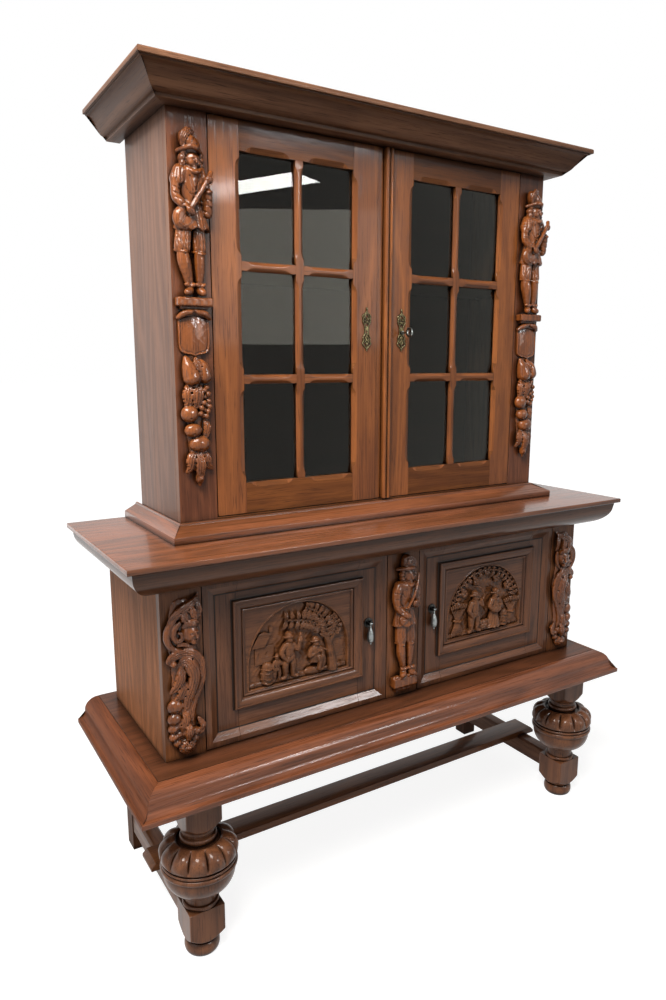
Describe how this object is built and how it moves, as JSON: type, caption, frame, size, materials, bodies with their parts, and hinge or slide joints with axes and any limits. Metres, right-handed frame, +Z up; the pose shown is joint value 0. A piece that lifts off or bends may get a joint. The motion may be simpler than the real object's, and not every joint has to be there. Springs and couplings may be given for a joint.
{
  "type": "china cabinet",
  "caption": "Two-storey oak china cabinet: glazed display doors above, carved panelled cupboard below, on gadrooned turned legs with stretchers.",
  "frame": {"origin": "on the floor under the middle of the cabinet's bounding box", "axes": "+X to the viewer's right, -Y out of the front, +Z up"},
  "size_m": [1.558, 0.5783, 2],
  "materials": {
    "stained_oak": "stained oak under glossy varnish",
    "inside_oak": "stained oak, matt inside",
    "window_glass": "clear flat glass",
    "antique_brass": "darkened brass",
    "dark_iron": "blackened and rubbed bright",
    "plain_steel": "plain"
  },
  "bodies": {
    "cabinet": {"base_board": "stained_oak", "base_moulding": "stained_oak", "base_rails": "stained_oak", "centre_stile": "stained_oak", "cornice": "stained_oak", "front_leg_left": "stained_oak", "front_leg_right": "stained_oak", "long_stretcher": "stained_oak", "lower_back_panel": "inside_oak", "lower_partition": "inside_oak", "lower_pilaster_left": "stained_oak", "lower_pilaster_right": "stained_oak", "lower_shelves": "inside_oak", "lower_side_left": "stained_oak", "lower_side_right": "stained_oak", "lower_top_rails": "stained_oak", "pivot_pins": "plain_steel", "plinth_moulding": "stained_oak", "rear_leg_left": "stained_oak", "rear_leg_right": "stained_oak", "shelf_pins": "plain_steel", "side_stretcher_left": "stained_oak", "side_stretcher_right": "stained_oak", "sideboard_top": "stained_oak", "top_moulding": "stained_oak", "upper_back_panel": "inside_oak", "upper_face_rails": "stained_oak", "upper_floor": "inside_oak", "upper_pilaster_left": "stained_oak", "upper_pilaster_right": "stained_oak", "upper_roof": "stained_oak", "upper_shelves": "inside_oak", "upper_side_left": "stained_oak", "upper_side_right": "stained_oak"},
    "left_glazed_door": {"glazed_frame_left": "stained_oak", "glazing_bars_left": "stained_oak", "glass_beads_left": "stained_oak", "panes_left": "window_glass", "escutcheon_left": "antique_brass"},
    "right_glazed_door": {"glazed_frame_right": "stained_oak", "glazing_bars_right": "stained_oak", "glass_beads_right": "stained_oak", "panes_right": "window_glass", "escutcheon_right": "antique_brass", "astragal": "stained_oak", "lock_case": "plain_steel"},
    "left_panelled_door": {"panelled_frame_left": "stained_oak", "bolection_left": "stained_oak", "arched_panel_left": "stained_oak", "pull_plate_left": "dark_iron"},
    "right_panelled_door": {"panelled_frame_right": "stained_oak", "bolection_right": "stained_oak", "arched_panel_right": "stained_oak", "pull_plate_right": "dark_iron"},
    "left_drop": {"pull_drop_left": "dark_iron"},
    "right_drop": {"pull_drop_right": "dark_iron"},
    "key": {"key": "antique_brass"},
    "lock_bolt": {"lock_bolt": "plain_steel"},
    "top_flush_bolt": {"top_flush_bolt": "plain_steel"},
    "bottom_flush_bolt": {"bottom_flush_bolt": "plain_steel"}
  },
  "joints": [
    {"name": "left_glazed_swing", "type": "hinge", "parent": "cabinet", "child": "left_glazed_door", "pos_m": [-0.47, -0.038, 1.475], "axis": [0, 0, -1], "range_deg": [0, 100]},
    {"name": "right_glazed_swing", "type": "hinge", "parent": "cabinet", "child": "right_glazed_door", "pos_m": [0.47, -0.038, 1.475], "axis": [0, 0, 1], "range_deg": [0, 100]},
    {"name": "left_panelled_swing", "type": "hinge", "parent": "cabinet", "child": "left_panelled_door", "pos_m": [-0.563, -0.148, 0.684], "axis": [0, 0, -1], "range_deg": [0, 100]},
    {"name": "right_panelled_swing", "type": "hinge", "parent": "cabinet", "child": "right_panelled_door", "pos_m": [0.563, -0.148, 0.684], "axis": [0, 0, 1], "range_deg": [0, 100]},
    {"name": "left_drop_swing", "type": "hinge", "parent": "left_panelled_door", "child": "left_drop", "pos_m": [-0.109, -0.158, 0.706], "axis": [-1, 0, 0], "range_deg": [0, 75]},
    {"name": "right_drop_swing", "type": "hinge", "parent": "right_panelled_door", "child": "right_drop", "pos_m": [0.109, -0.158, 0.706], "axis": [-1, 0, 0], "range_deg": [0, 75]},
    {"name": "key_turn", "type": "hinge", "parent": "right_glazed_door", "child": "key", "pos_m": [0.06116, -0.045, 1.469], "axis": [0, 1, 0], "range_deg": [0, 180]},
    {"name": "lock_bolt_slide", "type": "slide", "parent": "right_glazed_door", "child": "lock_bolt", "axis": [-1, 0, 0], "range_m": [0, 0.014]},
    {"name": "top_bolt_slide", "type": "slide", "parent": "left_glazed_door", "child": "top_flush_bolt", "axis": [0, 0, 1], "range_m": [0, 0.014]},
    {"name": "bottom_bolt_slide", "type": "slide", "parent": "left_glazed_door", "child": "bottom_flush_bolt", "axis": [0, 0, -1], "range_m": [0, 0.014]}
  ],
  "couplings": [
    {"joint": "key_turn", "follows": "lock_bolt_slide", "rad_per_m": 224.3}
  ]
}
